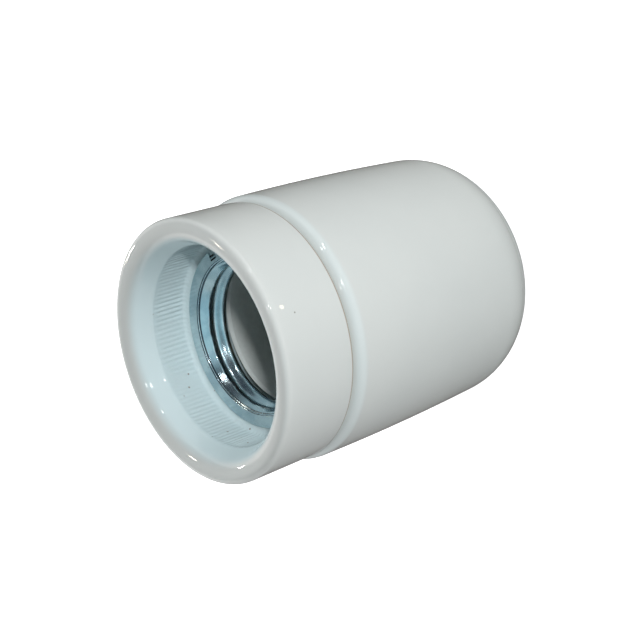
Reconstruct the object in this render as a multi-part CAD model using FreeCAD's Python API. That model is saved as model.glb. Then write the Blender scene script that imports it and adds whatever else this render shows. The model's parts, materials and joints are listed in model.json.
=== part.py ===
import FreeCAD, Part
import math
import os

# Three-part porcelain lamp holder for an E27 lamp cap.
#
# The holder stands on its rear face. The origin is the centre of that face, +Z is the
# common axis and points out of the lamp opening. +X points over the notch of the thread
# sleeve's flange. Lengths are millimetres.
#
# How it comes apart: the front ring, which carries the steel thread sleeve, unscrews from
# the rear dome. The contact block then lifts out of the dome. The entry bush is held in
# the rear wall of the dome by its nut.

# ---------------------------------------------------------------- general
seat_gap = 0.2            # between faces that only bear on each other when tightened
sheet = 0.4               # steel sheet of the thread sleeve
strip = 0.5               # bronze strip of the contacts
thread_clearance = 0.1    # round a screw or barrel in its hole
smallest_arc = 0.9        # smaller roundings are drawn as flat bevels
longest_reach = 0.9       # share of a side that a rounding may take

# ---------------------------------------------------------------- E27 thread and its sleeve
thread_pitch = 3.629
thread_major_r = 13.28
thread_minor_r = 12.18
thread_steps = 8          # straight pieces in one turn of the rolled thread
run_in = 1.7              # length over which the thread starts
run_out = 0.8             # length of the flare at the rear end
mouth_clearance = 0.14    # inner edge of the flange outside the thread
flange_width = 2.32
flare_width = 1.6         # edge rolled over behind the septum
notch_width = 1.7
notch_depth = 1.25        # radial
tab_length = 1.4          # tongue from the notch, bent down into the septum
tab_clearance = 0.25

# ---------------------------------------------------------------- front ring
flange_depth = 11.03      # from the rim to the flange
ring_length = 14.27       # visible length
ring_flare = 0.3          # lip wider than the rear end
ring_step = 0.73          # dome stands out past the ring at the groove
ring_rear_edge_r = 0.35
ring_gap = 0.4            # groove between ring and dome
lip_width = 3.29          # from the side to where the funnel would meet the rim plane
lip_outer_r = 1.3
lip_inner_r = 2.9
ribs_depth = 4.26         # from the rim to the start of the ribbed wall
rib_count = 132           # fine upright ribs round the wall above the ledge
rib_height = 0.16
rib_relief = 0.05         # crests of the ribs outside the plain wall
ledge_width = 1.33        # from the edge of the flange to the ribbed wall
ledge_corner_r = 1.1
septum_thickness = 5.5    # inner web of the ring, which carries the sleeve
sleeve_clearance = 0.16   # round the widest place of the sleeve
neck_length = 10.4        # part of the ring inside the dome
neck_wall = 3.35
neck_end_edge = 0.6

# ---------------------------------------------------------------- rear dome
porcelain_thread = 0.9    # height of the coarse thread between ring and dome
neck_clearance = 0.35
dome_wall = 2.9           # outside the thread
dome_taper = 1.83         # the side's slope takes this off the radius at the rear plane
dome_taper_z = 28.75      # height at which taper and straight part would meet
dome_bow_r = 540.0        # long arc that joins them
dome_shoulder_r = 11.3    # rounding down to the flat rear face
dome_edge_r = 2.0         # rounded front edge, which makes the groove
dome_ledge = 2.2          # shoulder in the bore that the block sits on
dome_cavity_corner_r = 5.0
dome_floor = 4.5          # rear wall
dome_lead_in = 0.8        # chamfer at the mouth of the bore

# ---------------------------------------------------------------- contact block
cap_clearance = 0.42      # collar round the lamp cap
collar_wall = 1.9
collar_clearance = 0.6    # to the bore of the neck, and to the flare above
cap_depth = 24.2          # from the flange to the floor of the block
block_floor = 3.6
block_clearance = 1.1     # body of the block in the wiring space
block_edge = 0.8
block_rim_thickness = 5.0
block_rim_edge = 0.5
block_rim_clearance = 0.3  # rim inside the crests of the coarse thread
floor_corner_r = 1.2
pocket_depth = 6.5        # terminal pockets under the floor
pocket_inner_x = 4.4
pocket_clearance = 0.3
key_width = 4.0           # boss on the shoulder of the dome that stops the block turning
key_height = 2.0
key_clearance = 0.4

# ---------------------------------------------------------------- contacts and rivets
strip_width = 4.6
rivet_x = 7.2
rivet_shank_r = 1.3
rivet_head_r = 1.95
rivet_head_height = 0.9
rivet_head_edge = 0.6
rivet_clearance = 0.4
rivet_washer_width = 1.3
rivet_washer_thickness = 0.4
eye_clearance = 0.35
spring_gap = 0.25         # play of a contact's eye on its rivet
tongue_root = 2.1         # from the rivet to the first bend
tongue_rise = 2.6         # centre contact, from its eye to its tip
tongue_overrun = 2.4      # past the axis
dimple_r = 1.5
dimple_height = 0.5
dimple_edge = 0.5
side_contact_gap = 0.8    # outer face of the upright to the collar
side_contact_height = 12.0
side_bulge = 0.75
side_bulge_drop = 3.0     # from the top of the upright to its bulge
side_bulge_length = 3.0   # from the bulge down to the straight part
side_recess = 0.9         # recess in the collar behind the upright
side_recess_clearance = 0.65

# ---------------------------------------------------------------- terminals
terminal_start = 2.8      # from the rivet to the pillar
terminal_depth = 4.6      # radial
terminal_width = 6.4
terminal_height = 5.9
terminal_bevel = 0.5
lug_thickness = 1.0
lug_width = 4.8
wire_hole_r = 1.3
wire_hole_start = 1.7     # from the inner face of the pillar to the middle of the wire hole
screw_tip_reach = 0.65    # tip of the tightened screw, outside the middle of the wire hole
terminal_screw_r = 1.5
terminal_screw_head_r = 2.4
terminal_screw_head_height = 1.3
terminal_screw_gap = 0.3
screw_slot_width = 0.7
screw_slot_depth = 0.6

# ---------------------------------------------------------------- cable entry
bush_recess = 0.2         # rear end of the bush below the rear face
bush_length = 13.3
bush_bore_r = 4.46        # M10 x 1, crests of the inside thread
bush_wall = 1.54
bush_collar_width = 1.6
bush_collar_height = 1.2
bush_chamfer = 0.5
bush_edge = 0.3
entry_clearance = 0.3
seat_washer_thickness = 0.5
nut_sides = 6
nut_flats = 17.0
nut_height = 3.0
nut_bevel = 0.6
nut_washer_width = 3.0
nut_washer_thickness = 1.0
grub_r = 1.25
grub_length = 3.0
grub_above_nut = 2.1
grub_socket_r = 0.6
grub_socket_depth = 1.2
wiring_gap = 3.47         # from the bush to the contact block

# ---------------------------------------------------------------- earth tag
tag_thickness = 0.8
tag_ring_width = 2.6
tag_width = 6.0
tag_reach = 6.0           # from the barrel of the bush to the outer face of the upright
tag_corner_r = 1.5
tag_top_margin = 0.1
earth_screw_r = 1.5
earth_screw_length = 5.4
earth_screw_above_nut = 2.0
earth_screw_head_r = 2.6
earth_screw_head_height = 1.6

# ---------------------------------------------------------------- heights along the axis
tag_base_z = dome_floor
nut_z = tag_base_z + tag_thickness + nut_washer_thickness
nut_top_z = nut_z + nut_height
grub_z = nut_top_z + grub_above_nut
earth_screw_z = nut_top_z + earth_screw_above_nut
tag_top_z = earth_screw_z + earth_screw_head_r + tag_top_margin
bush_top_z = bush_recess + bush_length
block_bottom_z = bush_top_z + wiring_gap
pocket_top_z = block_bottom_z + pocket_depth
terminal_bottom_z = pocket_top_z - terminal_height
terminal_screw_z = pocket_top_z - lug_thickness - terminal_screw_head_r
cap_floor_z = pocket_top_z + block_floor
eye_z = cap_floor_z + rivet_washer_thickness + spring_gap
flange_z = cap_floor_z + cap_depth
septum_top_z = flange_z - sheet
septum_bottom_z = septum_top_z - septum_thickness
flare_z = septum_bottom_z - sheet
collar_top_z = flare_z - collar_clearance
total_length = flange_z + flange_depth
ribs_top_z = total_length - ribs_depth
ring_rear_z = total_length - ring_length
dome_front_z = ring_rear_z - ring_gap
neck_end_z = ring_rear_z - neck_length
rim_top_z = neck_end_z - seat_gap
rim_bottom_z = rim_top_z - block_rim_thickness
dome_shoulder_z = rim_bottom_z - seat_gap
key_top_z = dome_shoulder_z + key_height
counterbore_depth = bush_recess + bush_collar_height + seat_washer_thickness

# ---------------------------------------------------------------- radii, from the axis outwards
thread_mean_r = (thread_major_r + thread_minor_r) / 2
thread_offset = (thread_major_r - thread_minor_r) / 2
sleeve_mouth_r = thread_major_r + mouth_clearance
flange_r = sleeve_mouth_r + flange_width
sleeve_outer_r = max(thread_major_r, thread_minor_r, sleeve_mouth_r) + sheet
septum_bore_r = sleeve_outer_r + sleeve_clearance
flare_r = sleeve_mouth_r + flare_width
tab_inner_x = flange_r - notch_depth
ribs_r = flange_r + ledge_width
collar_r = thread_major_r + cap_clearance
collar_outer_r = collar_r + collar_wall
neck_bore_r = collar_outer_r + collar_clearance
neck_r = neck_bore_r + neck_wall
dome_bore_r = neck_r + neck_clearance
dome_r = dome_bore_r + dome_wall
dome_rear_r = dome_r - dome_taper
dome_cavity_r = dome_bore_r - dome_ledge
ring_rear_r = dome_r - ring_step
ring_lip_r = ring_rear_r + ring_flare
funnel_r = ring_lip_r - lip_width
rim_r = dome_bore_r - porcelain_thread - block_rim_clearance
block_r = dome_cavity_r - block_clearance

# ---------------------------------------------------------------- radii and places of small pieces
bush_barrel_r = bush_bore_r + bush_wall
bush_collar_r = bush_barrel_r + bush_collar_width
entry_hole_r = bush_barrel_r + entry_clearance
counterbore_r = bush_collar_r + entry_clearance
nut_washer_r = bush_barrel_r + nut_washer_width
tag_r = bush_barrel_r + tag_ring_width
tag_end_y = bush_barrel_r + tag_reach
rivet_hole_r = rivet_shank_r + rivet_clearance
rivet_washer_r = rivet_hole_r + rivet_washer_width
eye_hole_r = rivet_shank_r + eye_clearance
side_contact_x = collar_r - side_contact_gap
terminal_inner_x = rivet_x + terminal_start
terminal_outer_x = terminal_inner_x + terminal_depth
wire_hole_x = terminal_inner_x + wire_hole_start

ORIGIN = FreeCAD.Vector(0, 0, 0)
X_AXIS = FreeCAD.Vector(1, 0, 0)
Y_AXIS = FreeCAD.Vector(0, 1, 0)
Z_AXIS = FreeCAD.Vector(0, 0, 1)
MARGIN = 1.0              # how far a cutting body runs past the face it opens
FIT = 0.01                # tolerance for picking edges


# ---------------------------------------------------------------- shape helpers
def rounded_face(corners):
    """Face in the X-Z half plane through corners (r, z, rounding), for turning about Z.

    Each rounding becomes an arc tangent to both sides, or a bevel if it is small, and is
    shortened where a side is short.
    """
    points = [FreeCAD.Vector(r, 0, z) for r, z, rounding in corners]
    arcs = []
    for index, (r, z, rounding) in enumerate(corners):
        corner = points[index]
        back = points[index - 1] - corner
        ahead = points[(index + 1) % len(points)] - corner
        half_angle = back.getAngle(ahead) / 2
        reach = rounding / math.tan(half_angle)
        reach = min(reach, longest_reach * back.Length, longest_reach * ahead.Length)
        start = corner + back.normalize() * reach
        end = corner + ahead.normalize() * reach
        bisector = (back + ahead).normalize()
        radius = reach * math.tan(half_angle)
        middle = corner + bisector * (reach / math.cos(half_angle) - radius)
        arcs.append((start, middle, end))
    edges = []
    for index, (start, middle, end) in enumerate(arcs):
        previous_end = arcs[index - 1][2]
        if not previous_end.isEqual(start, FIT / 1000):
            edges.append(Part.makeLine(previous_end, start))
        if corners[index][2] >= smallest_arc:
            edges.append(Part.Arc(start, middle, end).toShape())
        elif not start.isEqual(end, FIT / 1000):
            edges.append(Part.makeLine(start, end))
    return Part.Face(Part.Wire(Part.__sortEdges__(edges)))


def turned(corners):
    """Solid of revolution about Z from rounded corners."""
    return rounded_face(corners).revolve(ORIGIN, Z_AXIS, 360)


def cylinder(radius, z_low, z_high, x=0.0, y=0.0):
    """Upright cylinder between two heights."""
    return Part.makeCylinder(radius, z_high - z_low, FreeCAD.Vector(x, y, z_low))


def ring_solid(outer_radius, inner_radius, z_low, z_high, x=0.0, y=0.0):
    """Upright tube or washer between two heights."""
    outer = cylinder(outer_radius, z_low, z_high, x, y)
    return outer.cut(cylinder(inner_radius, z_low - MARGIN, z_high + MARGIN, x, y))


def cone(low_radius, high_radius, z_low, z_high):
    """Cone frustum on the axis between two heights."""
    return Part.makeCone(low_radius, high_radius, z_high - z_low, FreeCAD.Vector(0, 0, z_low))


def block(x_low, x_high, y_low, y_high, z_low, z_high):
    """Box between two corners."""
    corner = FreeCAD.Vector(x_low, y_low, z_low)
    return Part.makeBox(x_high - x_low, y_high - y_low, z_high - z_low, corner)


def rod_along_x(radius, x_low, x_high, z):
    """Cylinder along +X at a height, in the plane y = 0."""
    return Part.makeCylinder(radius, x_high - x_low, FreeCAD.Vector(x_low, 0, z), X_AXIS)


def half_turned(shape):
    """Copy of a shape turned by half a turn about the axis."""
    copy = shape.copy()
    copy.rotate(ORIGIN, Z_AXIS, 180)
    return copy


def round_thread(radius, offset, pitch, z_low, z_high):
    """Solid with a rounded right-hand thread.

    Every section is a circle whose centre runs round the axis, one turn for each pitch.
    """
    count = max(2, math.ceil((z_high - z_low) / pitch * thread_steps))
    sections = []
    for step in range(count + 1):
        z = z_low + (z_high - z_low) * step / count
        turn = 2 * math.pi * (z - flange_z) / pitch
        centre = FreeCAD.Vector(offset * math.cos(turn), offset * math.sin(turn), z)
        sections.append(Part.Wire(Part.Circle(centre, Z_AXIS, radius).toShape()))
    return Part.makeLoft(sections, True, True)


# ---------------------------------------------------------------- porcelain
def make_rear_dome():
    outside = turned([
        (0, 0, 0),
        (dome_rear_r, 0, dome_shoulder_r),
        (dome_r, dome_taper_z, dome_bow_r),
        (dome_r, dome_front_z, dome_edge_r),
        (0, dome_front_z, 0),
    ])
    cavity = turned([
        (0, dome_floor, 0),
        (dome_cavity_r, dome_floor, dome_cavity_corner_r),
        (dome_cavity_r, dome_shoulder_z, 0),
        (dome_bore_r, dome_shoulder_z, 0),
        (dome_bore_r, dome_front_z - dome_lead_in, 0),
        (dome_bore_r + dome_lead_in + MARGIN, dome_front_z + MARGIN, 0),
        (0, dome_front_z + MARGIN, 0),
    ])
    dome = outside.cut(cavity)
    dome = dome.cut(cylinder(entry_hole_r, -MARGIN, dome_floor + MARGIN))
    dome = dome.cut(cylinder(counterbore_r, -MARGIN, counterbore_depth))
    key_ring = ring_solid(dome_bore_r + MARGIN, dome_cavity_r, dome_shoulder_z - MARGIN, key_top_z)
    keys = key_ring.common(block(-dome_r, dome_r, -key_width / 2, key_width / 2, 0, dome_front_z))
    return dome.fuse(keys).removeSplitter()


def make_front_ring():
    body = turned([
        (septum_bore_r, septum_bottom_z, 0),
        (neck_bore_r, septum_bottom_z, 0),
        (neck_bore_r, neck_end_z, 0),
        (neck_r, neck_end_z, neck_end_edge),
        (neck_r, ring_rear_z, 0),
        (ring_rear_r, ring_rear_z, ring_rear_edge_r),
        (ring_lip_r, total_length, lip_outer_r),
        (funnel_r, total_length, lip_inner_r),
        (ribs_r, ribs_top_z, 0),
        (ribs_r, septum_top_z, ledge_corner_r),
        (septum_bore_r, septum_top_z, 0),
    ])
    return body.cut([rib_grooves(), tab_pocket()]).removeSplitter()


def rib_grooves():
    """Star-shaped prism that cuts the upright grooves; they run out in the funnel above."""
    crest_r = ribs_r + rib_relief
    corners = []
    for index in range(2 * rib_count):
        radius = crest_r + rib_height * (index % 2)
        turn = math.pi * index / rib_count
        corners.append(FreeCAD.Vector(
            radius * math.cos(turn), radius * math.sin(turn), septum_top_z + ledge_corner_r))
    star = Part.Face(Part.makePolygon(corners + corners[:1]))
    return star.extrude(Z_AXIS * (total_length - star.BoundBox.ZMin))


def tab_pocket():
    """Hole in the septum for the bent tongue of the sleeve."""
    return block(
        tab_inner_x - tab_clearance, tab_inner_x + sheet + tab_clearance,
        -notch_width / 2 - tab_clearance, notch_width / 2 + tab_clearance,
        septum_top_z - tab_length - tab_clearance, septum_top_z + MARGIN,
    )


def make_contact_block():
    body = turned([
        (0, block_bottom_z, 0),
        (block_r, block_bottom_z, block_edge),
        (block_r, rim_bottom_z, 0),
        (rim_r, rim_bottom_z, block_rim_edge),
        (rim_r, rim_top_z, block_rim_edge),
        (collar_outer_r, rim_top_z, 0),
        (collar_outer_r, collar_top_z, block_rim_edge),
        (collar_r, collar_top_z, block_rim_edge),
        (collar_r, cap_floor_z, floor_corner_r),
        (0, cap_floor_z, 0),
    ])
    half_recess = strip_width / 2 + side_recess_clearance
    recess = cylinder(collar_r + side_recess, cap_floor_z, collar_top_z + MARGIN)
    body = body.cut(recess.common(block(0, dome_r, -half_recess, half_recess, 0, dome_front_z)))
    half_pocket = terminal_width / 2 + pocket_clearance
    pocket = block(
        pocket_inner_x, dome_r, -half_pocket, half_pocket, block_bottom_z - MARGIN, pocket_top_z)
    rivet_hole = cylinder(rivet_hole_r, pocket_top_z - MARGIN, cap_floor_z + MARGIN, rivet_x)
    for cut in (pocket, rivet_hole):
        body = body.cut(cut)
        body = body.cut(half_turned(cut))
    half_key = key_width / 2 + key_clearance
    notches = ring_solid(dome_r, dome_cavity_r - key_clearance, rim_bottom_z - MARGIN,
                         key_top_z + key_clearance)
    return body.cut(notches.common(block(-dome_r, dome_r, -half_key, half_key, 0, dome_front_z)))


# ---------------------------------------------------------------- thread sleeve
def make_thread_sleeve():
    outside = sleeve_form(sheet)
    flange = cylinder(flange_r, septum_top_z, flange_z)
    rolled_edge = cylinder(flare_r, flare_z, septum_bottom_z)
    sleeve = outside.fuse([flange, rolled_edge]).cut(sleeve_form(0))
    half_notch = notch_width / 2
    notch = block(tab_inner_x, flange_r + MARGIN, -half_notch, half_notch,
                  septum_top_z - MARGIN, flange_z + MARGIN)
    tab = block(tab_inner_x, tab_inner_x + sheet, -half_notch, half_notch,
                septum_top_z - tab_length, flange_z)
    return sleeve.cut(notch).fuse(tab).removeSplitter()


def sleeve_form(growth):
    """Inside of the sleeve, grown by the sheet for its outside."""
    low = flare_z
    high = flange_z
    if growth == 0:
        low = low - MARGIN
        high = high + MARGIN
    rolled = round_thread(thread_mean_r + growth, thread_offset, thread_pitch, low, high)
    start = cone(thread_minor_r + growth, sleeve_mouth_r + growth, flange_z - run_in, flange_z)
    end = cone(sleeve_mouth_r + growth, thread_minor_r + growth, flare_z, flare_z + run_out)
    form = rolled.fuse([start, end])
    if growth == 0:
        mouth = cylinder(sleeve_mouth_r, flange_z, high)
        tail = cylinder(sleeve_mouth_r, low, flare_z)
        form = form.fuse([mouth, tail])
    return form


# ---------------------------------------------------------------- contacts
def bent_strip(line, width):
    """Strip of spring sheet: a centre line in the X-Z plane, thickened and widened."""
    points = [FreeCAD.Vector(x, 0, z) for x, z in line]
    runs = [(ahead - here).normalize() for here, ahead in zip(points, points[1:])]
    upper = []
    lower = []
    for here, into, out in zip(points, runs[:1] + runs, runs + runs[-1:]):
        mitre = Y_AXIS.cross(into + out).normalize()
        stretch = strip / 2 / mitre.dot(Y_AXIS.cross(into))
        upper.append(here + mitre * stretch)
        lower.append(here - mitre * stretch)
    outline = upper + lower[::-1]
    face = Part.Face(Part.makePolygon(outline + outline[:1]))
    solid = face.extrude(FreeCAD.Vector(0, width, 0))
    solid.translate(FreeCAD.Vector(0, -width / 2, 0))
    return solid


def with_eye(solid):
    """Strip with a round eye over the rivet at x = rivet_x."""
    eye = cylinder(strip_width / 2, eye_z, eye_z + strip, rivet_x)
    hole = cylinder(eye_hole_r, eye_z - MARGIN, eye_z + strip + MARGIN, rivet_x)
    return solid.fuse(eye).cut(hole).removeSplitter()


def make_centre_contact():
    middle_z = eye_z + strip / 2
    line = [
        (rivet_x, middle_z),
        (rivet_x - tongue_root, middle_z),
        (dimple_r + dimple_edge, middle_z + tongue_rise),
        (-tongue_overrun, middle_z + tongue_rise),
    ]
    tongue = bent_strip(line, strip_width)
    tip_z = middle_z + tongue_rise + strip / 2
    sphere_r = (dimple_r ** 2 + dimple_height ** 2) / (2 * dimple_height)
    sphere = Part.makeSphere(sphere_r, FreeCAD.Vector(0, 0, tip_z + dimple_height - sphere_r))
    dimple = sphere.common(cylinder(dimple_r, tip_z - strip / 2, tip_z + dimple_height + MARGIN))
    return half_turned(with_eye(tongue.fuse(dimple)))


def make_side_contact():
    middle_z = eye_z + strip / 2
    upright_x = side_contact_x - strip / 2
    top_z = middle_z + side_contact_height
    bulge_z = top_z - side_bulge_drop
    line = [
        (rivet_x, middle_z),
        (upright_x, middle_z),
        (upright_x, bulge_z - side_bulge_length),
        (upright_x - side_bulge, bulge_z),
        (upright_x, top_z),
    ]
    return with_eye(bent_strip(line, strip_width))


def make_rivet():
    """Rivet through contact, block and lug; its upper head leaves the contact its play."""
    head_z = eye_z + strip + spring_gap
    foot_z = pocket_top_z - lug_thickness
    head = turned([
        (0, head_z, 0),
        (rivet_head_r, head_z, 0),
        (rivet_head_r, head_z + rivet_head_height, rivet_head_edge),
        (0, head_z + rivet_head_height, 0),
    ])
    foot = cylinder(rivet_head_r, foot_z - rivet_head_height, foot_z)
    shank = cylinder(rivet_shank_r, foot_z, head_z)
    rivet = shank.fuse([head, foot])
    rivet.translate(FreeCAD.Vector(rivet_x, 0, 0))
    return rivet.removeSplitter()


def make_rivet_washer():
    return ring_solid(rivet_washer_r, rivet_hole_r, cap_floor_z,
                      cap_floor_z + rivet_washer_thickness, rivet_x)


# ---------------------------------------------------------------- terminals
def make_terminal():
    """Brass pillar with its lug, wire hole and screw hole."""
    half = terminal_width / 2
    pillar = block(terminal_inner_x, terminal_outer_x, -half, half, terminal_bottom_z, pocket_top_z)
    upright_edges = [edge for edge in pillar.Edges if edge.Length > terminal_height - FIT
                     and abs(edge.tangentAt(0).z) > 1 - FIT]
    pillar = pillar.makeChamfer(terminal_bevel, upright_edges)
    lug = block(rivet_x, terminal_inner_x, -lug_width / 2, lug_width / 2,
                pocket_top_z - lug_thickness, pocket_top_z)
    lug = lug.fuse(cylinder(lug_width / 2, pocket_top_z - lug_thickness, pocket_top_z, rivet_x))
    terminal = pillar.fuse(lug)
    lug_hole = cylinder(rivet_shank_r + thread_clearance, pocket_top_z - lug_thickness - MARGIN,
                        pocket_top_z + MARGIN, rivet_x)
    wire_hole = cylinder(wire_hole_r, terminal_bottom_z - MARGIN,
                         pocket_top_z - lug_thickness, wire_hole_x)
    screw_hole = rod_along_x(terminal_screw_r + thread_clearance, wire_hole_x,
                             terminal_outer_x + MARGIN, terminal_screw_z)
    return terminal.cut([lug_hole, wire_hole, screw_hole]).removeSplitter()


def make_terminal_screw():
    """Cheese-head screw that clamps the wire; drawn as tightened on a wire."""
    head_x = terminal_outer_x + terminal_screw_gap
    end_x = head_x + terminal_screw_head_height
    tip_x = wire_hole_x + screw_tip_reach
    shank = rod_along_x(terminal_screw_r, tip_x, head_x, terminal_screw_z)
    head = rod_along_x(terminal_screw_head_r, head_x, end_x, terminal_screw_z)
    slot = block(end_x - screw_slot_depth, end_x + MARGIN,
                 -terminal_screw_head_r - MARGIN, terminal_screw_head_r + MARGIN,
                 terminal_screw_z - screw_slot_width / 2, terminal_screw_z + screw_slot_width / 2)
    return shank.fuse(head).cut(slot).removeSplitter()


# ---------------------------------------------------------------- cable entry
def make_entry_bush():
    bush = turned([
        (bush_bore_r, bush_recess, bush_chamfer),
        (bush_collar_r, bush_recess, bush_edge),
        (bush_collar_r, bush_recess + bush_collar_height, 0),
        (bush_barrel_r, bush_recess + bush_collar_height, 0),
        (bush_barrel_r, bush_top_z, bush_edge),
        (bush_bore_r, bush_top_z, 0),
    ])
    hole = Part.makeCylinder(grub_r + thread_clearance, bush_barrel_r + MARGIN,
                             FreeCAD.Vector(0, 0, grub_z), -Y_AXIS)
    return bush.cut(hole)


def make_seat_washer():
    low = bush_recess + bush_collar_height
    return ring_solid(bush_collar_r, bush_barrel_r + thread_clearance, low,
                      low + seat_washer_thickness)


def make_entry_washer():
    return ring_solid(nut_washer_r, bush_barrel_r + thread_clearance, tag_base_z + tag_thickness,
                      nut_z)


def make_entry_nut():
    corner_r = nut_flats / 2 / math.cos(math.pi / nut_sides)
    corners = []
    for index in range(nut_sides + 1):
        turn = 2 * math.pi * index / nut_sides
        corners.append(FreeCAD.Vector(corner_r * math.cos(turn), corner_r * math.sin(turn), nut_z))
    hexagon = Part.Face(Part.makePolygon(corners)).extrude(Z_AXIS * nut_height)
    corner_cut = turned([
        (0, nut_z, 0),
        (corner_r, nut_z, nut_bevel),
        (corner_r, nut_top_z, nut_bevel),
        (0, nut_top_z, 0),
    ])
    bore = cylinder(bush_barrel_r + thread_clearance, nut_z - MARGIN, nut_top_z + MARGIN)
    return hexagon.common(corner_cut).cut(bore).removeSplitter()


def make_tube_lock_screw():
    """Grub screw in the wall of the bush that stops the threaded tube from turning."""
    inner = bush_bore_r + thread_clearance
    screw = Part.makeCylinder(grub_r, grub_length, FreeCAD.Vector(0, -inner, grub_z), -Y_AXIS)
    tip = inner + grub_length
    socket = Part.makeCylinder(grub_socket_r, grub_socket_depth + MARGIN,
                               FreeCAD.Vector(0, -tip + grub_socket_depth, grub_z), -Y_AXIS)
    return screw.cut(socket)


def make_earth_tag():
    base = cylinder(tag_r, tag_base_z, tag_base_z + tag_thickness)
    arm = block(-tag_width / 2, tag_width / 2, 0, tag_end_y, tag_base_z, tag_base_z + tag_thickness)
    upright = block(-tag_width / 2, tag_width / 2, tag_end_y - tag_thickness, tag_end_y,
                    tag_base_z, tag_top_z)
    top_edges = [edge for edge in upright.Edges if abs(edge.tangentAt(0).y) > 1 - FIT
                 and edge.BoundBox.ZMin > tag_top_z - FIT]
    upright = upright.makeFillet(tag_corner_r, top_edges)
    bore = cylinder(bush_barrel_r + thread_clearance, tag_base_z - MARGIN, tag_top_z + MARGIN)
    screw_hole = Part.makeCylinder(earth_screw_r + thread_clearance, tag_end_y,
                                   FreeCAD.Vector(0, tag_end_y - tag_thickness - MARGIN,
                                                  earth_screw_z), Y_AXIS)
    return base.fuse([arm, upright]).cut([bore, screw_hole]).removeSplitter()


def make_earth_screw():
    start = tag_end_y + earth_screw_head_height - earth_screw_length
    shank = Part.makeCylinder(earth_screw_r, earth_screw_length,
                              FreeCAD.Vector(0, start, earth_screw_z), Y_AXIS)
    head = Part.makeCylinder(earth_screw_head_r, earth_screw_head_height,
                             FreeCAD.Vector(0, tag_end_y, earth_screw_z), Y_AXIS)
    end_y = tag_end_y + earth_screw_head_height
    slot = block(-earth_screw_head_r - MARGIN, earth_screw_head_r + MARGIN,
                 end_y - screw_slot_depth, end_y + MARGIN,
                 earth_screw_z - screw_slot_width / 2, earth_screw_z + screw_slot_width / 2)
    return shank.fuse(head).cut(slot).removeSplitter()


# ---------------------------------------------------------------- all pieces
def make_all():
    return {
        "rear_dome": make_rear_dome(),
        "front_ring": make_front_ring(),
        "thread_sleeve": make_thread_sleeve(),
        "contact_block": make_contact_block(),
        "centre_contact": make_centre_contact(),
        "side_contact": make_side_contact(),
        "live_rivet": half_turned(make_rivet()),
        "neutral_rivet": make_rivet(),
        "live_rivet_washer": half_turned(make_rivet_washer()),
        "neutral_rivet_washer": make_rivet_washer(),
        "live_terminal": half_turned(make_terminal()),
        "neutral_terminal": make_terminal(),
        "live_terminal_screw": half_turned(make_terminal_screw()),
        "neutral_terminal_screw": make_terminal_screw(),
        "entry_bush": make_entry_bush(),
        "seat_washer": make_seat_washer(),
        "entry_washer": make_entry_washer(),
        "entry_nut": make_entry_nut(),
        "tube_lock_screw": make_tube_lock_screw(),
        "earth_tag": make_earth_tag(),
        "earth_screw": make_earth_screw(),
    }


os.makedirs("parts", exist_ok=True)
for name, shape in make_all().items():
    solids = shape.Solids
    solid = solids[0] if len(solids) == 1 else shape
    solid.exportStep("parts/" + name + ".step")
    print(name, len(solids), shape.isValid(), round(shape.Volume, 2))
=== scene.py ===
import json
import math

import bmesh
import bpy
import numpy as np
from mathutils import Matrix, Vector


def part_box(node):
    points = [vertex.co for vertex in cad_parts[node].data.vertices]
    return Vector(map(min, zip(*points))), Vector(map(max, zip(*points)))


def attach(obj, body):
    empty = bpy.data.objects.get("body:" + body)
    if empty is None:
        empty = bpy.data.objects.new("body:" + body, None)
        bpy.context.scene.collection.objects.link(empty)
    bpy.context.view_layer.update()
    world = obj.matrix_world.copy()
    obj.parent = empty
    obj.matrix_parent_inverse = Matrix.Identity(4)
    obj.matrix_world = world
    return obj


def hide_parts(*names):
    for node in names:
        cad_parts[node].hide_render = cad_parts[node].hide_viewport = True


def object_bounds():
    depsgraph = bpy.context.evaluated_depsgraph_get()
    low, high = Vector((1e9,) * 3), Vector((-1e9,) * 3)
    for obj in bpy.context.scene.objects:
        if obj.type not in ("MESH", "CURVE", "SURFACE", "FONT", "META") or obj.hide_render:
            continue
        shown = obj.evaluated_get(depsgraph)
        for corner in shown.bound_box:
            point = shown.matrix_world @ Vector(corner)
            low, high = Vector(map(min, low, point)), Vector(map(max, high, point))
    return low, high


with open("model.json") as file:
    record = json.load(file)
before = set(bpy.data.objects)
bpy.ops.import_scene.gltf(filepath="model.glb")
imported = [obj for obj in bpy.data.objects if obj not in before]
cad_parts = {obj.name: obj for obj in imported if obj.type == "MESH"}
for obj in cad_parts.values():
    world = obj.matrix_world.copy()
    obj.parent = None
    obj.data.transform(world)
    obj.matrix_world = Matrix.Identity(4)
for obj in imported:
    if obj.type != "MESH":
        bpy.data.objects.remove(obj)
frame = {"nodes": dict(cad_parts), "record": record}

cad_low, cad_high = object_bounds()

# Sizes are metres; MM turns a size in millimetres into metres.
MM = 0.001
TURN = 2 * math.pi

# ---------------------------------------------------------------- sizes from the frame
dome_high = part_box("rear_dome")[1]
ring_low, ring_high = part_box("front_ring")
sleeve_low, sleeve_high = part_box("thread_sleeve")

DOME_R = dome_high.x
DOME_FRONT_Z = dome_high.z
RIM_Z = ring_high.z
LIP_R = ring_high.x
NECK_END_Z = ring_low.z
FLANGE_Z = sleeve_high.z
FLARE_Z = sleeve_low.z
FLANGE_R = sleeve_high.y

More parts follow.
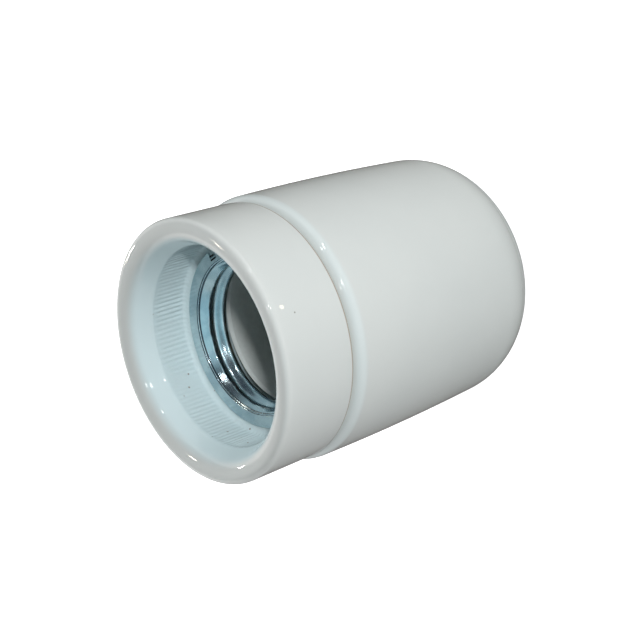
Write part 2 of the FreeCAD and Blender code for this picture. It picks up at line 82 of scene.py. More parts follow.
# ---------------------------------------------------------------- sizes of the porcelain
RING_REAR_Z = DOME_FRONT_Z + 0.4 * MM
DOME_REAR_R = 20.97 * MM
DOME_TAPER_Z = 28.75 * MM
DOME_BOW_R = 540 * MM
DOME_SHOULDER_R = 11.3 * MM
DOME_EDGE_R = 2.0 * MM
DOME_BORE_R = 19.9 * MM
DOME_SHOULDER_Z = 32.23 * MM
DOME_CAVITY_R = 17.7 * MM
DOME_CAVITY_CORNER_R = 5.0 * MM
DOME_FLOOR = 4.5 * MM
DOME_LEAD_IN = 0.8 * MM
ENTRY_HOLE_R = 6.3 * MM
COUNTERBORE_R = 7.9 * MM
COUNTERBORE_DEPTH = 1.9 * MM

RING_REAR_R = 22.07 * MM
RING_REAR_EDGE_R = 0.35 * MM
MOUTH_R = 19.08 * MM
LIP_OUTER_R = 1.3 * MM
LIP_INNER_R = 2.9 * MM
RIBS_TOP_Z = RIM_Z - 4.26 * MM
RIBS_R = 17.07 * MM
RIB_COUNT = 132
RIB_STEPS = 4             # segments of the ring for each rib
RIB_DEPTH = 0.16 * MM
LEDGE_FILLET_R = 1.1 * MM
SHEET = 0.4 * MM
SEPTUM_TOP_Z = FLANGE_Z - SHEET
SEPTUM_BOTTOM_Z = FLARE_Z + SHEET
SEPTUM_BORE_R = 13.98 * MM
NECK_BORE_R = 16.2 * MM
PORCELAIN_PITCH = 4.0 * MM
PORCELAIN_THREAD = 0.45 * MM          # half the height of the coarse thread
PORCELAIN_THREAD_CLEARANCE = 0.35 * MM
NECK_ROOT_R = DOME_BORE_R - PORCELAIN_THREAD_CLEARANCE - 2 * PORCELAIN_THREAD

# ---------------------------------------------------------------- sizes of the sleeve
E27_PITCH = 3.629 * MM
E27_MAJOR_R = 13.28 * MM
E27_MINOR_R = 12.18 * MM
SLEEVE_MOUTH_R = 13.42 * MM
RUN_IN = 1.7 * MM
RUN_OUT = 0.8 * MM
FLARE_R = 15.02 * MM
EDGE = 0.06 * MM          # rounding of a cut edge of the sheet
NOTCH_HALF_WIDTH = 0.85 * MM
NOTCH_DEPTH = 1.25 * MM
TAB_LENGTH = 1.4 * MM
TAB_CLEARANCE = 0.25 * MM
TAB_BEND_R = 0.45 * MM
TAB_BEND_STEPS = 8
TAB_LAP = 0.3 * MM        # how far the tongue reaches into the flange


# ---------------------------------------------------------------- mesh helpers
def rounded_profile(corners, arc_step=0.35 * MM):
    """Closed outline in (r, z).

    corners holds (r, z, rounding, step): the rounding of the corner, and the longest piece of
    the side that follows it, or 0 to leave that side whole.
    """
    points = [Vector((r, z)) for r, z, rounding, step in corners]
    ends, outline = [], []
    for index, (r, z, rounding, step) in enumerate(corners):
        corner = points[index]
        back = points[index - 1] - corner
        ahead = points[(index + 1) % len(points)] - corner
        half = back.angle(ahead) / 2
        reach = min(rounding / math.tan(half), 0.9 * back.length, 0.9 * ahead.length)
        if rounding == 0:
            ends.append([corner.copy()])
            continue
        radius = reach * math.tan(half)
        bisector = (back.normalized() + ahead.normalized()).normalized()
        centre = corner + bisector * (radius / math.sin(half))
        start = corner + back.normalized() * reach - centre
        end = corner + ahead.normalized() * reach - centre
        sweep = start.angle_signed(end)
        pieces = max(3, math.ceil(abs(sweep) * radius / arc_step), math.ceil(abs(sweep) / 0.2))
        arc = []
        for piece in range(pieces + 1):
            turn = Matrix.Rotation(-sweep * piece / pieces, 2)
            arc.append(centre + turn @ start)
        ends.append(arc)
    for index, corner in enumerate(corners):
        outline.extend(ends[index])
        step = corner[3]
        start = ends[index][-1]
        end = ends[(index + 1) % len(ends)][0]
        length = (end - start).length
        count = math.ceil(length / step) if step else 1
        for piece in range(1, count):
            outline.append(start.lerp(end, piece / count))
    return np.array([tuple(point) for point in outline])


def lathe(name, outline, segments, shape=None, sharp_angle=35):
    """Mesh turned about Z from a closed outline; shape(r, z, phi) moves each point."""
    phi = np.arange(segments) * TURN / segments
    r = np.repeat(outline[:, :1], segments, axis=1)
    z = np.repeat(outline[:, 1:], segments, axis=1)
    angle = np.repeat(phi[None, :], len(outline), axis=0)
    if shape:
        r, z = shape(r, z, angle)
    points = np.stack([r * np.cos(angle), r * np.sin(angle), z], axis=-1).reshape(-1, 3)
    station = np.arange(len(outline))[:, None] * segments
    next_station = np.roll(station, -1, axis=0)
    segment = np.arange(segments)[None, :]
    next_segment = np.roll(segment, -1, axis=1)
    faces = np.stack([station + segment, next_station + segment,
                      next_station + next_segment, station + next_segment], axis=-1).reshape(-1, 4)
    mesh = bpy.data.meshes.new(name)
    mesh.from_pydata(points.tolist(), [], faces.tolist())
    mesh.validate()
    finish_mesh(mesh, sharp_angle)
    piece = bpy.data.objects.new(name, mesh)
    bpy.context.scene.collection.objects.link(piece)
    return piece


def finish_mesh(mesh, sharp_angle):
    """Outward normals, smooth faces, and edges kept sharp past an angle."""
    work = bmesh.new()
    work.from_mesh(mesh)
    bmesh.ops.recalc_face_normals(work, faces=work.faces)
    work.to_mesh(mesh)
    work.free()
    mesh.polygons.foreach_set("use_smooth", [True] * len(mesh.polygons))
    mesh.set_sharp_from_angle(angle=math.radians(sharp_angle))


def smooth_step(value, low, high):
    """0 below low, 1 above high, and a smooth ramp between."""
    t = np.clip((value - low) / (high - low), 0, 1)
    return t * t * (3 - 2 * t)


# ---------------------------------------------------------------- porcelain
def rope_wave(z, phi, pitch, phase_z):
    """Rounded right-hand thread: 1 where it is furthest from the axis, -1 where nearest."""
    return np.cos(TURN * (z - phase_z) / pitch - phi)


def make_dome():
    outline = rounded_profile([
        (ENTRY_HOLE_R, COUNTERBORE_DEPTH, 0.3 * MM, 0),
        (COUNTERBORE_R, COUNTERBORE_DEPTH, 0.2 * MM, 0),
        (COUNTERBORE_R, 0, 0.4 * MM, 0),
        (DOME_REAR_R, 0, DOME_SHOULDER_R, 2 * MM),
        (DOME_R, DOME_TAPER_Z, DOME_BOW_R, 2 * MM),
        (DOME_R, DOME_FRONT_Z, DOME_EDGE_R, 0),
        (DOME_BORE_R + DOME_LEAD_IN, DOME_FRONT_Z, 0.2 * MM, 0),
        (DOME_BORE_R, DOME_FRONT_Z - DOME_LEAD_IN, 0.3 * MM, 0.28 * MM),
        (DOME_BORE_R, DOME_SHOULDER_Z, 0.3 * MM, 0),
        (DOME_CAVITY_R, DOME_SHOULDER_Z, 0.3 * MM, 2 * MM),
        (DOME_CAVITY_R, DOME_FLOOR, DOME_CAVITY_CORNER_R, 0),
        (ENTRY_HOLE_R, DOME_FLOOR, 0.3 * MM, 0),
    ])

    def thread(r, z, phi):
        inside = (r < DOME_BORE_R + 0.01 * MM) & (r > DOME_BORE_R - 0.01 * MM)
        fade = smooth_step(z, DOME_SHOULDER_Z + 3.0 * MM, DOME_SHOULDER_Z + 5.0 * MM)
        fade = fade * (1 - smooth_step(z, DOME_FRONT_Z - 1.6 * MM, DOME_FRONT_Z - 0.9 * MM))
        wave = (rope_wave(z, phi, PORCELAIN_PITCH, RING_REAR_Z) - 1) * PORCELAIN_THREAD
        return r + np.where(inside, wave * fade, 0), z

    return lathe("dome_porcelain", outline, 256, thread)


def make_ring():
    outline = rounded_profile([
        (SEPTUM_BORE_R, SEPTUM_TOP_Z, 0.2 * MM, 0),
        (SEPTUM_BORE_R, SEPTUM_BOTTOM_Z, 0.2 * MM, 0),
        (NECK_BORE_R, SEPTUM_BOTTOM_Z, 0.4 * MM, 0),
        (NECK_BORE_R, NECK_END_Z, 0.4 * MM, 0),
        (NECK_ROOT_R, NECK_END_Z, 0.6 * MM, 0.28 * MM),
        (NECK_ROOT_R, RING_REAR_Z, 0.3 * MM, 0),
        (RING_REAR_R, RING_REAR_Z, RING_REAR_EDGE_R, 2 * MM),
        (LIP_R, RIM_Z, LIP_OUTER_R, 0),
        (MOUTH_R, RIM_Z, LIP_INNER_R, 0.5 * MM),
        (RIBS_R, RIBS_TOP_Z, 1.5 * MM, 0.4 * MM),
        (RIBS_R, SEPTUM_TOP_Z, LEDGE_FILLET_R, 0),
    ], arc_step=0.3 * MM)

    def details(r, z, phi):
        neck = (np.abs(r - NECK_ROOT_R) < 0.01 * MM) & (z < RING_REAR_Z)
        fade = smooth_step(z, NECK_END_Z + 0.6 * MM, NECK_END_Z + 1.4 * MM)
        fade = fade * (1 - smooth_step(z, RING_REAR_Z - 1.6 * MM, RING_REAR_Z - 0.6 * MM))
        wave = (rope_wave(z, phi, PORCELAIN_PITCH, RING_REAR_Z) + 1) * PORCELAIN_THREAD
        wall = (r < RIBS_R + 0.9 * MM) & (r > FLANGE_R - 0.3 * MM) & (z > SEPTUM_TOP_Z - 0.01 * MM)
        band = smooth_step(z, SEPTUM_TOP_Z, SEPTUM_TOP_Z + 0.9 * MM)
        band = band * (1 - smooth_step(z, RIBS_TOP_Z - 1.2 * MM, RIBS_TOP_Z + 0.2 * MM))
        uneven = 0.75 + 0.25 * np.sin(7 * phi + 1.3) * np.sin(3 * phi)
        ribs = (0.5 - 0.5 * np.cos(RIB_COUNT * phi)) * RIB_DEPTH * uneven
        return r + np.where(neck, wave * fade, 0) + np.where(wall, ribs * band, 0), z

    ring = lathe("ring_porcelain", outline, RIB_COUNT * RIB_STEPS, details)
    tab_x = FLANGE_R - NOTCH_DEPTH
    pocket = make_box("tab_pocket", tab_x - TAB_CLEARANCE, tab_x + SHEET + TAB_CLEARANCE,
                      NOTCH_HALF_WIDTH + TAB_CLEARANCE,
                      SEPTUM_TOP_Z - TAB_LENGTH - TAB_CLEARANCE, SEPTUM_TOP_Z + SHEET)
    cut_away(ring, pocket)
    finish_mesh(ring.data, 35)
    return ring


# ---------------------------------------------------------------- thread sleeve
def sleeve_inside(z, phi):
    """Radius of the inside of the rolled wall: the thread, opened to a cone at each end."""
    mean = (E27_MAJOR_R + E27_MINOR_R) / 2
    offset = (E27_MAJOR_R - E27_MINOR_R) / 2
    rolled = mean + offset * rope_wave(z, phi, E27_PITCH, FLANGE_Z)
    spread = SLEEVE_MOUTH_R - E27_MINOR_R
    start = E27_MINOR_R + spread * (1 - (FLANGE_Z - z) / RUN_IN)
    end = E27_MINOR_R + spread * (1 - (z - FLARE_Z) / RUN_OUT)
    return np.maximum(rolled, np.maximum(start, end))


def make_sleeve():
    """Rolled sleeve: one sheet followed down its inside and back up its outside."""
    outline = rounded_profile([
        (FLANGE_R, FLANGE_Z, EDGE, 0.5 * MM),
        (SLEEVE_MOUTH_R, FLANGE_Z, 0.3 * MM, 0.1 * MM),
        (SLEEVE_MOUTH_R, FLARE_Z, 0.15 * MM, 0.5 * MM),
        (FLARE_R, FLARE_Z, EDGE, 0),
        (FLARE_R, FLARE_Z + SHEET, EDGE, 0.5 * MM),
        (SLEEVE_MOUTH_R + SHEET, FLARE_Z + SHEET, EDGE, 0.1 * MM),
        (SLEEVE_MOUTH_R + SHEET, FLANGE_Z - SHEET, EDGE, 0.5 * MM),
        (FLANGE_R, FLANGE_Z - SHEET, EDGE, 0),
    ], arc_step=0.1 * MM)

    def roll(r, z, phi):
        inside = np.abs(r - SLEEVE_MOUTH_R) < 0.001 * MM
        outside = np.abs(r - SLEEVE_MOUTH_R - SHEET) < 0.001 * MM
        wall = sleeve_inside(z, phi)
        return np.where(inside, wall, np.where(outside, wall + SHEET, r)), z

    sleeve = lathe("sleeve_sheet", outline, 320, roll, 50)
    notch = make_box("notch_cut", FLANGE_R - NOTCH_DEPTH, FLANGE_R + SHEET,
                     NOTCH_HALF_WIDTH, FLANGE_Z - 2 * SHEET, FLANGE_Z + SHEET)
    cut_away(sleeve, notch)
    work = bmesh.new()
    work.from_mesh(sleeve.data)
    add_tab(work)
    work.to_mesh(sleeve.data)
    work.free()
    finish_mesh(sleeve.data, 50)
    return sleeve


def make_box(name, x_low, x_high, half_width, z_low, z_high):
    """Cutting block."""
    mesh = bpy.data.meshes.new(name)
    work = bmesh.new()
    bmesh.ops.create_cube(work, size=1)
    for vertex in work.verts:
        vertex.co.x = x_low + (vertex.co.x + 0.5) * (x_high - x_low)
        vertex.co.y = vertex.co.y * 2 * half_width
        vertex.co.z = z_low + (vertex.co.z + 0.5) * (z_high - z_low)
    work.to_mesh(mesh)
    work.free()
    cutter = bpy.data.objects.new(name, mesh)
    bpy.context.scene.collection.objects.link(cutter)
    return cutter


def cut_away(piece, cutter):
    """Take the cutter's volume out of the piece, then delete the cutter."""
    cut = piece.modifiers.new("cut", "BOOLEAN")
    cut.operation = "DIFFERENCE"
    cut.solver = "EXACT"
    cut.object = cutter
    depsgraph = bpy.context.evaluated_depsgraph_get()
    mesh = bpy.data.meshes.new_from_object(piece.evaluated_get(depsgraph))
    piece.modifiers.clear()
    piece.data = mesh
    bpy.data.objects.remove(cutter)


def add_tab(work):
    """Tongue of the notch: out of the flange, round a bend and down into the septum."""
    x_out = FLANGE_R - NOTCH_DEPTH + SHEET
    centre_x = x_out - TAB_BEND_R
    centre_z = FLANGE_Z - TAB_BEND_R
    outer = [(centre_x - TAB_LAP, FLANGE_Z)]
    inner = [(centre_x - TAB_LAP, FLANGE_Z - SHEET)]
    for step in range(TAB_BEND_STEPS + 1):
        turn = math.pi / 2 * (1 - step / TAB_BEND_STEPS)
        for side, radius in ((outer, TAB_BEND_R), (inner, TAB_BEND_R - SHEET)):
            side.append((centre_x + radius * math.cos(turn), centre_z + radius * math.sin(turn)))
    outer.append((x_out, SEPTUM_TOP_Z - TAB_LENGTH))
    inner.append((x_out - SHEET, SEPTUM_TOP_Z - TAB_LENGTH))
    rows = []
    for y in (-NOTCH_HALF_WIDTH, NOTCH_HALF_WIDTH):
        rows.append([work.verts.new((x, y, z)) for x, z in outer + inner[::-1]])
    count = len(rows[0])
    last = len(outer) - 1
    for index in range(count):
        after = (index + 1) % count
        work.faces.new((rows[0][index], rows[0][after], rows[1][after], rows[1][index]))
    for row in rows:
        for index in range(last):
            far = count - 1 - index
            work.faces.new((row[index], row[index + 1], row[far - 1], row[far]))


# ---------------------------------------------------------------- materials
class Nodes:
    """A material with its Principled shader, and short ways to add nodes to it."""

    def __init__(self, name):
        self.material = bpy.data.materials.new(name)
        self.material.use_nodes = True
        self.tree = self.material.node_tree
        self.shader = self.tree.nodes["Principled BSDF"]
        self.place = self.tree.nodes.new("ShaderNodeTexCoord").outputs["Object"]

    def put(self, socket, value):
        if isinstance(value, bpy.types.NodeSocket):
            self.tree.links.new(value, socket)
        else:
            socket.default_value = value

    def maths(self, operation, first, second=0.0):
        node = self.tree.nodes.new("ShaderNodeMath")
        node.operation = operation
        self.put(node.inputs[0], first)
        self.put(node.inputs[1], second)
        return node.outputs[0]

    def stretched(self, x, y, z):
        """Object coordinates, each multiplied."""
        node = self.tree.nodes.new("ShaderNodeVectorMath")
        node.operation = "MULTIPLY"
        self.put(node.inputs[0], self.place)
        node.inputs[1].default_value = (x, y, z)
        return node.outputs[0]

    def noise(self, scale, detail=3.0, vector=None):
        node = self.tree.nodes.new("ShaderNodeTexNoise")
        self.put(node.inputs["Vector"], vector or self.place)
        node.inputs["Scale"].default_value = scale
        node.inputs["Detail"].default_value = detail
        return node.outputs["Fac"]

    def ramp(self, value, low, high, start=0.0, end=1.0):
        """Value between low and high taken to between start and end, and held outside."""
        node = self.tree.nodes.new("ShaderNodeMapRange")
        node.interpolation_type = "SMOOTHSTEP"
        self.put(node.inputs["Value"], value)
        node.inputs["From Min"].default_value = low
        node.inputs["From Max"].default_value = high
        node.inputs["To Min"].default_value = start
        node.inputs["To Max"].default_value = end
        return node.outputs["Result"]

    def mix(self, factor, first, second):
        node = self.tree.nodes.new("ShaderNodeMix")
        node.data_type = "RGBA"
        self.put(node.inputs[0], factor)
        self.put(node.inputs[6], first)
        self.put(node.inputs[7], second)
        return node.outputs[2]

    def specks(self, scale, size, share):
        """1 inside small round specks: one in some cells of a grid of points."""
        node = self.tree.nodes.new("ShaderNodeTexVoronoi")
        self.put(node.inputs["Vector"], self.place)
        node.inputs["Scale"].default_value = scale
        split = self.tree.nodes.new("ShaderNodeSeparateColor")
        self.put(split.inputs[0], node.outputs["Color"])
        chosen = self.ramp(split.outputs[0], 1 - share, 1 - share + 0.02)
        spot = self.ramp(node.outputs["Distance"], size * 0.5, size, 1.0, 0.0)
        return self.maths("MULTIPLY", spot, chosen)

    def axis_place(self):
        """Distance from the axis, and height."""
        split = self.tree.nodes.new("ShaderNodeSeparateXYZ")
        self.put(split.inputs[0], self.place)
        squares = self.maths("ADD", self.maths("MULTIPLY", split.outputs[0], split.outputs[0]),
                             self.maths("MULTIPLY", split.outputs[1], split.outputs[1]))
        return self.maths("SQRT", squares), split.outputs[2]

    def bump(self, height, distance, strength=1.0, normal=None):
        node = self.tree.nodes.new("ShaderNodeBump")
        self.put(node.inputs["Height"], height)
        node.inputs["Distance"].default_value = distance
        node.inputs["Strength"].default_value = strength
        if normal:
            self.put(node.inputs["Normal"], normal)
        return node.outputs["Normal"]

    def finish(self, colour, roughness, normal):
        self.put(self.shader.inputs["Base Color"], colour)
        self.put(self.shader.inputs["Roughness"], roughness)
        self.put(self.shader.inputs["Normal"], normal)
        return self.material


GLAZE_WHITE = (0.72, 0.735, 0.71, 1)
GLAZE_GREY = (0.68, 0.70, 0.68, 1)
# Bluish tint inside the mouth: painted cool light, not a colour of the glaze.
MOUTH_TINT_PAINTED_COOL_LIGHT = (0.68, 0.795, 0.815, 1)
GLAZE_EDGE = (0.70, 0.75, 0.74, 1)
# Warm dark band at the ring's rear edge: painted shade in the joint with the dome.
JOINT_PAINTED_SHADE = (0.42, 0.34, 0.27, 1)
GLAZE_SPECK = (0.34, 0.33, 0.30, 1)
BARE_WHITE = (0.66, 0.68, 0.66, 1)
BARE_GREY = (0.60, 0.62, 0.60, 1)
ZINC_DULL = (0.42, 0.53, 0.58, 1)
ZINC_BRIGHT = (0.62, 0.72, 0.75, 1)
FIBRE_DARK = (0.10, 0.035, 0.02, 1)
FIBRE_LIGHT = (0.20, 0.07, 0.04, 1)


def glazed_colour(nodes):
    """White glaze with faint clouds and a few fired-in specks."""
    clouds = nodes.ramp(nodes.noise(45, 4), 0.15, 0.85)
    colour = nodes.mix(clouds, GLAZE_GREY, GLAZE_WHITE)
    return nodes.mix(nodes.specks(420, 0.085, 0.05), colour, GLAZE_SPECK)


def glaze_normal(nodes):
    """Slow waves of the fired body, and the faint orange peel of the glaze."""
    waves = nodes.bump(nodes.noise(70, 2), 0.25 * MM, 0.35)
    return nodes.bump(nodes.noise(700, 2), 0.012 * MM, 0.5, waves)


def bare_colour(nodes):
    """Unglazed porcelain with a faint grain."""
    grain = nodes.ramp(nodes.noise(1400, 5), 0.1, 0.9)
    return nodes.mix(grain, BARE_GREY, BARE_WHITE)


def dome_porcelain():
    """Glaze outside; the bore and the wiring space are bare.

    Known fault: the mask also takes a ring on the outside, from about 3.5 to 6 mm above the
    rear plane, where the foot curves in below the bore's radius. It is drawn bare too.
    """
    nodes = Nodes("dome_porcelain")
    radius, height = nodes.axis_place()
    edge_z = DOME_FRONT_Z - 0.5 * MM
    bore = nodes.ramp(radius, DOME_BORE_R + 0.3 * MM, DOME_BORE_R + 0.6 * MM, 1.0, 0.0)
    inside = nodes.maths("MULTIPLY", bore, nodes.ramp(height, 3.0 * MM, 4.0 * MM))
    below_edge = nodes.ramp(height, edge_z, edge_z + 0.3 * MM, 1.0, 0.0)
    inside = nodes.maths("MULTIPLY", inside, below_edge)
    front = nodes.ramp(height, DOME_FRONT_Z - 2.4 * MM, DOME_FRONT_Z - 1.2 * MM)
    colour = nodes.mix(front, glazed_colour(nodes), GLAZE_EDGE)
    colour = nodes.mix(inside, colour, bare_colour(nodes))
    gloss = nodes.ramp(nodes.noise(90, 3), 0.3, 0.7, 0.035, 0.06)
    rough = nodes.maths("MAXIMUM", gloss, nodes.maths("MULTIPLY", inside, 0.6))
    return nodes.finish(colour, rough, glaze_normal(nodes))


def ring_porcelain():
    """Glaze with painted cool light inside the mouth and painted shade along the rear edge at the
    joint; the neck is bare.
    """
    nodes = Nodes("ring_porcelain")
    radius, height = nodes.axis_place()
    mouth = nodes.maths("MULTIPLY",
                        nodes.ramp(radius, RIBS_R + 0.9 * MM, RIBS_R + 2.6 * MM, 1.0, 0.0),
                        nodes.ramp(height, SEPTUM_TOP_Z - 0.3 * MM, SEPTUM_TOP_Z))
    band = nodes.maths("MULTIPLY",
                       nodes.ramp(height, RIBS_TOP_Z - 0.5 * MM, RIBS_TOP_Z + 0.6 * MM, 1.0, 0.0),
                       mouth)
    # The bluish tint inside the mouth is painted cool light.
    colour = nodes.mix(mouth, glazed_colour(nodes), MOUTH_TINT_PAINTED_COOL_LIGHT)
    # Painted shade: a warm dark band along the rear edge, where the ring meets the dome.
    joint_shade_band = nodes.ramp(height, RING_REAR_Z + 0.25 * MM, RING_REAR_Z + 0.5 * MM, 1.0, 0.0)
    colour = nodes.mix(joint_shade_band, colour, JOINT_PAINTED_SHADE)
    pinholes = nodes.maths("MULTIPLY", nodes.specks(900, 0.22, 0.10), band)
    colour = nodes.mix(pinholes, colour, GLAZE_SPECK)
    neck = nodes.ramp(height, RING_REAR_Z - 0.3 * MM, RING_REAR_Z - 0.1 * MM, 1.0, 0.0)
    colour = nodes.mix(neck, colour, bare_colour(nodes))
    gloss = nodes.ramp(nodes.noise(90, 3), 0.3, 0.7, 0.035, 0.06)
    rough = nodes.maths("MAXIMUM", gloss, nodes.maths("MULTIPLY", neck, 0.6))
    rough = nodes.maths("MAXIMUM", rough, nodes.maths("MULTIPLY", band, 0.22))
    lumps = nodes.maths("MULTIPLY", nodes.noise(1100, 4, nodes.stretched(1, 1, 0.3)), band)
    return nodes.finish(colour, rough, nodes.bump(lumps, 0.2 * MM, 0.8, glaze_normal(nodes)))


def block_porcelain():
    """Unglazed pressed porcelain with a fine grain."""
    nodes = Nodes("block_porcelain")
    grain = nodes.noise(1800, 6)
    rough = nodes.ramp(nodes.noise(400, 3), 0.3, 0.7, 0.5, 0.7)
    return nodes.finish(bare_colour(nodes), rough, nodes.bump(grain, 0.03 * MM, 0.6))


def sheet_zinc():
    """Bright zinc plate on rolled sheet: fine lines round the axis, and cloudy passivation."""
    nodes = Nodes("sheet_zinc")
    nodes.shader.inputs["Metallic"].default_value = 1.0
    clouds = nodes.ramp(nodes.noise(260, 4), 0.35, 0.7)
    colour = nodes.mix(clouds, ZINC_DULL, ZINC_BRIGHT)
    lines = nodes.noise(60, 4, nodes.stretched(1, 1, 90))
    rough = nodes.ramp(nodes.noise(300, 4), 0.3, 0.7, 0.13, 0.26)
    return nodes.finish(colour, rough, nodes.bump(lines, 0.01 * MM, 0.5))


def plain_metal(name, dark, light, rough_low, rough_high):
    """Metal with a cloudy tarnish and a fine drawn grain."""
    nodes = Nodes(name)
    nodes.shader.inputs["Metallic"].default_value = 1.0
    colour = nodes.mix(nodes.ramp(nodes.noise(350, 5), 0.35, 0.65), dark, light)
    rough = nodes.ramp(nodes.noise(500, 4), 0.3, 0.7, rough_low, rough_high)
    lines = nodes.noise(900, 4, nodes.stretched(1, 1, 0.2))
    return nodes.finish(colour, rough, nodes.bump(lines, 0.01 * MM, 0.5))


def washer_fibre():
    """Pressed red-brown fibre."""
    nodes = Nodes("washer_fibre")
    fibres = nodes.noise(1500, 6, nodes.stretched(1, 0.3, 1))
    colour = nodes.mix(nodes.ramp(fibres, 0.3, 0.7), FIBRE_DARK, FIBRE_LIGHT)
    rough = nodes.ramp(fibres, 0.3, 0.7, 0.6, 0.8)
    return nodes.finish(colour, rough, nodes.bump(fibres, 0.03 * MM, 0.6))


# ---------------------------------------------------------------- pieces and their finishes
def dress(piece, material):
    piece.data.materials.clear()
    piece.data.materials.append(material)


def stand_in(piece, node, body, material):
    """The piece shows in place of a CAD node and moves with its body."""
    dress(piece, material)
    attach(piece, body)
    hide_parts(node)


stand_in(make_dome(), "rear_dome", "dome", dome_porcelain())
stand_in(make_ring(), "front_ring", "ring", ring_porcelain())
stand_in(make_sleeve(), "thread_sleeve", "ring", sheet_zinc())

FINISHES = {
    "brass": plain_metal("turned_brass", (0.42, 0.27, 0.09, 1), (0.72, 0.52, 0.22, 1), 0.22, 0.38),
    "spring_bronze": plain_metal("spring_bronze", (0.40, 0.22, 0.11, 1), (0.66, 0.42, 0.24, 1),
                                 0.2, 0.35),
    "plated_steel": plain_metal("plated_steel", (0.40, 0.41, 0.40, 1), (0.62, 0.63, 0.61, 1),
                                0.2, 0.36),
    "screw_steel": plain_metal("screw_steel", (0.30, 0.31, 0.31, 1), (0.52, 0.53, 0.52, 1),
                               0.25, 0.42),
    "bare_porcelain": block_porcelain(),
    "fibre": washer_fibre(),
}
REPLACED = ("rear_dome", "front_ring", "thread_sleeve")

for part in frame["record"]["subparts"]:
    if part["node"] not in REPLACED:
        dress(frame["nodes"][part["node"]], FINISHES[part["material_slot"]])


# ---------------------------------------------------------------- floor, lamps and camera
def background_rays(tree):
    """1 for rays from the camera, and for those that show the background in metal or glass."""
    paths = tree.nodes.new("ShaderNodeLightPath")
    seen = tree.nodes.new("ShaderNodeMath")
    seen.operation = "MAXIMUM"
    tree.links.new(paths.outputs["Is Camera Ray"], seen.inputs[0])
    tree.links.new(paths.outputs["Is Transmission Ray"], seen.inputs[1])
    seen_or_glossy = tree.nodes.new("ShaderNodeMath")
    seen_or_glossy.operation = "MAXIMUM"
    tree.links.new(seen.outputs[0], seen_or_glossy.inputs[0])
    tree.links.new(paths.outputs["Is Glossy Ray"], seen_or_glossy.inputs[1])
    return seen_or_glossy.outputs[0]


def make_floor():
    mesh = bpy.data.meshes.new("floor")
    mesh.from_pydata(flat_square(3.0, 0), [], [(0, 1, 2, 3)])
    floor = bpy.data.objects.new("floor", mesh)
    bpy.context.scene.collection.objects.link(floor)
    material = bpy.data.materials.new("floor_paper")
    material.use_nodes = True
    tree = material.node_tree
    tree.nodes.clear()
    seen = background_rays(tree)
    paper = tree.nodes.new("ShaderNodeBsdfDiffuse")
    paper.inputs["Color"].default_value = (0.72, 0.72, 0.72, 1)
    glow = tree.nodes.new("ShaderNodeEmission")
    strength = tree.nodes.new("ShaderNodeMath")
    strength.operation = "MULTIPLY"
    tree.links.new(seen, strength.inputs[0])
    strength.inputs[1].default_value = FLOOR_GLOW
    tree.links.new(strength.outputs[0], glow.inputs["Strength"])
    both = tree.nodes.new("ShaderNodeAddShader")
    tree.links.new(paper.outputs[0], both.inputs[0])
    tree.links.new(glow.outputs[0], both.inputs[1])
    output = tree.nodes.new("ShaderNodeOutputMaterial")
    tree.links.new(both.outputs[0], output.inputs["Surface"])
    mesh.materials.append(material)


def make_world():
    world = bpy.data.worlds.new("studio")
    bpy.context.scene.world = world
    world.use_nodes = True
    tree = world.node_tree
    tree.nodes.clear()
    seen = background_rays(tree)
    fill = tree.nodes.new("ShaderNodeBackground")
    fill.inputs["Color"].default_value = (0.90, 0.97, 1.0, 1)
    fill.inputs["Strength"].default_value = WORLD_FILL
    white = tree.nodes.new("ShaderNodeBackground")
    white.inputs["Strength"].default_value = 1.0
    white.inputs["Color"].default_value = (1, 1, 1, 1)
    mix = tree.nodes.new("ShaderNodeMixShader")
    tree.links.new(seen, mix.inputs[0])
    tree.links.new(fill.outputs[0], mix.inputs[1])
    tree.links.new(white.outputs[0], mix.inputs[2])
    output = tree.nodes.new("ShaderNodeOutputWorld")
    tree.links.new(mix.outputs[0], output.inputs["Surface"])


def make_flag(name, corners, colour, diffuse_too):
    """Card that the camera doesn't see. Glossy surfaces mirror it with its colour, and with
    diffuse_too it also keeps light off what lies behind it."""
    mesh = bpy.data.meshes.new(name)
    mesh.from_pydata(corners, [], [tuple(range(len(corners)))])
    flag = bpy.data.objects.new(name, mesh)
    bpy.context.scene.collection.objects.link(flag)
    nodes = Nodes(name)
    paths = nodes.tree.nodes.new("ShaderNodeLightPath")
    nodes.shader.inputs["Base Color"].default_value = (0.01, 0.01, 0.01, 1)
    nodes.shader.inputs["Roughness"].default_value = 1.0
    nodes.put(nodes.shader.inputs["Emission Color"], colour(nodes))
    nodes.put(nodes.shader.inputs["Emission Strength"], paths.outputs["Is Glossy Ray"])
    mesh.materials.append(nodes.material)
    flag.visible_camera = False
    flag.visible_diffuse = diffuse_too
    flag.visible_shadow = diffuse_too
    flag.visible_transmission = False


def mouth_flag_colour(nodes):
    """Near black, turning teal and then white towards the front left."""
    split = nodes.tree.nodes.new("ShaderNodeSeparateXYZ")
    nodes.put(split.inputs[0], nodes.place)
    along = nodes.maths("ADD", nodes.maths("MULTIPLY", split.outputs[0], -0.65),
                        nodes.maths("MULTIPLY", split.outputs[1], -0.76))
    teal = nodes.mix(nodes.ramp(along, 0.03, 0.13), (0.03, 0.045, 0.06, 1), (0.44, 0.68, 0.76, 1))
    return nodes.mix(nodes.ramp(along, 0.17, 0.22), teal, (0.9, 1.0, 1.0, 1))


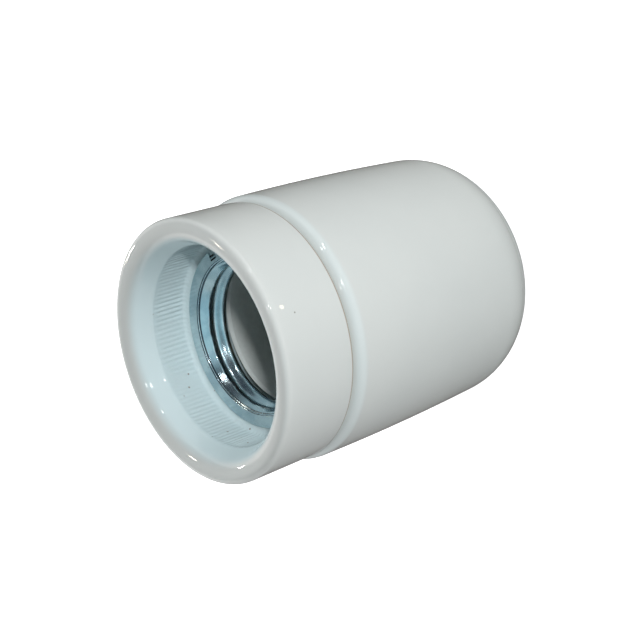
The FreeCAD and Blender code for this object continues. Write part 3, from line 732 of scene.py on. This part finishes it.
def floor_flag_colour(nodes):
    """Dark warm grey behind the object and to its right, clearing to white all round."""
    split = nodes.tree.nodes.new("ShaderNodeSeparateXYZ")
    nodes.put(split.inputs[0], nodes.place)
    front = nodes.ramp(split.outputs[1], -0.22, 0.03, 1.0, 0.0)
    side = nodes.ramp(split.outputs[0], -0.16, 0.0, 1.0, 0.0)
    far = nodes.ramp(nodes.axis_place()[0], 0.16, 0.45)
    clear = nodes.maths("MAXIMUM", far, nodes.maths("MAXIMUM", front, side))
    return nodes.mix(clear, (0.075, 0.062, 0.05, 1), (1, 1, 1, 1))


def flat_disc(radius, height):
    corners = range(24)
    return [(radius * math.cos(TURN * corner / 24), radius * math.sin(TURN * corner / 24), height)
            for corner in corners]


def flat_square(half, height):
    return [(-half, -half, height), (half, -half, height), (half, half, height),
            (-half, half, height)]


def make_flags():
    make_flag("mouth_flag", flat_disc(0.11, 0.160), mouth_flag_colour, True)
    make_flag("mouth_mirror", flat_disc(0.26, 0.162), mouth_flag_colour, False)
    make_flag("floor_flag", flat_square(0.5, 0.5 * MM), floor_flag_colour, False)


def make_spark(name, place, size, radiance, colour):
    """Small lamp that shows only as a highlight in glaze and metal; it lights no surface."""
    light = bpy.data.lights.new(name, "AREA")
    light.shape = "DISK"
    light.size = size
    light.color = colour
    light.energy = radiance * (math.pi * size / 2) ** 2
    spark = bpy.data.objects.new(name, light)
    bpy.context.scene.collection.objects.link(spark)
    aimed(spark, Vector(place), (cad_low + cad_high) / 2)
    spark.visible_camera = False
    spark.visible_diffuse = False


def aimed(thing, place, target):
    thing.location = place
    thing.rotation_euler = (Vector(target) - Vector(place)).to_track_quat("-Z", "Y").to_euler()


def make_lamp(name, direction, distance, size, level, colour=(1, 1, 1)):
    """Square lamp. level 1 alone lights a white surface that faces it to white."""
    light = bpy.data.lights.new(name, "AREA")
    light.size = size
    light.color = colour
    light.energy = level * math.pi ** 2 * distance ** 2
    lamp = bpy.data.objects.new(name, light)
    bpy.context.scene.collection.objects.link(lamp)
    middle = (cad_low + cad_high) / 2
    aimed(lamp, middle + Vector(direction).normalized() * distance, middle)
    lamp.visible_camera = False
    lamp.visible_glossy = False


CAMERA_PLACE = (-0.0373, -0.22289, 0.21612)
CAMERA_FORWARD = (0.12489, 0.77155, -0.62379)
CAMERA_UP = (0.90336, -0.34842, -0.25009)
CAMERA_LENS = 95.17       # millimetres, on a sensor 36 mm wide


def make_camera():
    forward = Vector(CAMERA_FORWARD).normalized()
    up = Vector(CAMERA_UP)
    right = forward.cross(up).normalized()
    up = right.cross(forward)
    lens = bpy.data.cameras.new("camera")
    lens.lens = CAMERA_LENS
    lens.sensor_width = 36
    camera = bpy.data.objects.new("camera", lens)
    bpy.context.scene.collection.objects.link(camera)
    turn = Matrix((right, up, -forward)).transposed().to_4x4()
    camera.matrix_world = Matrix.Translation(CAMERA_PLACE) @ turn
    bpy.context.scene.camera = camera


FLOOR_GLOW = 0.78
WORLD_FILL = 0.29
make_floor()
make_world()
make_flags()
make_lamp("key", (0.34, -0.85, 0.28), 0.6, 0.25, 0.12)
make_lamp("front", (0.0, -0.85, 0.53), 0.7, 0.05, 0.56, (0.96, 0.99, 1.0))
make_lamp("behind", (0.15, 0.90, 0.36), 0.6, 0.3, 0.92)
SPARKS = (
    ("spark_front", (0.02, -0.175, 0.14), 14 * MM, 60, (1, 1, 1)),
    ("spark_right", (0.15, -0.205, 0.09), 18 * MM, 60, (1, 1, 1)),
    ("spark_high", (0.095, -0.12, 0.15), 12 * MM, 40, (1, 1, 1)),
    ("spark_over", (0.01, -0.065, 0.15), 8 * MM, 30, (1, 1, 1)),
    ("spark_back", (0.05, 0.06, 0.15), 8 * MM, 50, (1, 0.9, 0.75)),
    ("spark_back_low", (0.085, 0.16, 0.13), 14 * MM, 60, (1, 0.9, 0.75)),
    ("spark_low", (0.005, -0.09, 0.006), 5 * MM, 10, (1, 0.86, 0.62)),
)
for name, place, size, radiance, colour in SPARKS:
    make_spark(name, place, size, radiance, colour)
make_camera()
bpy.context.scene.view_settings.view_transform = "Standard"
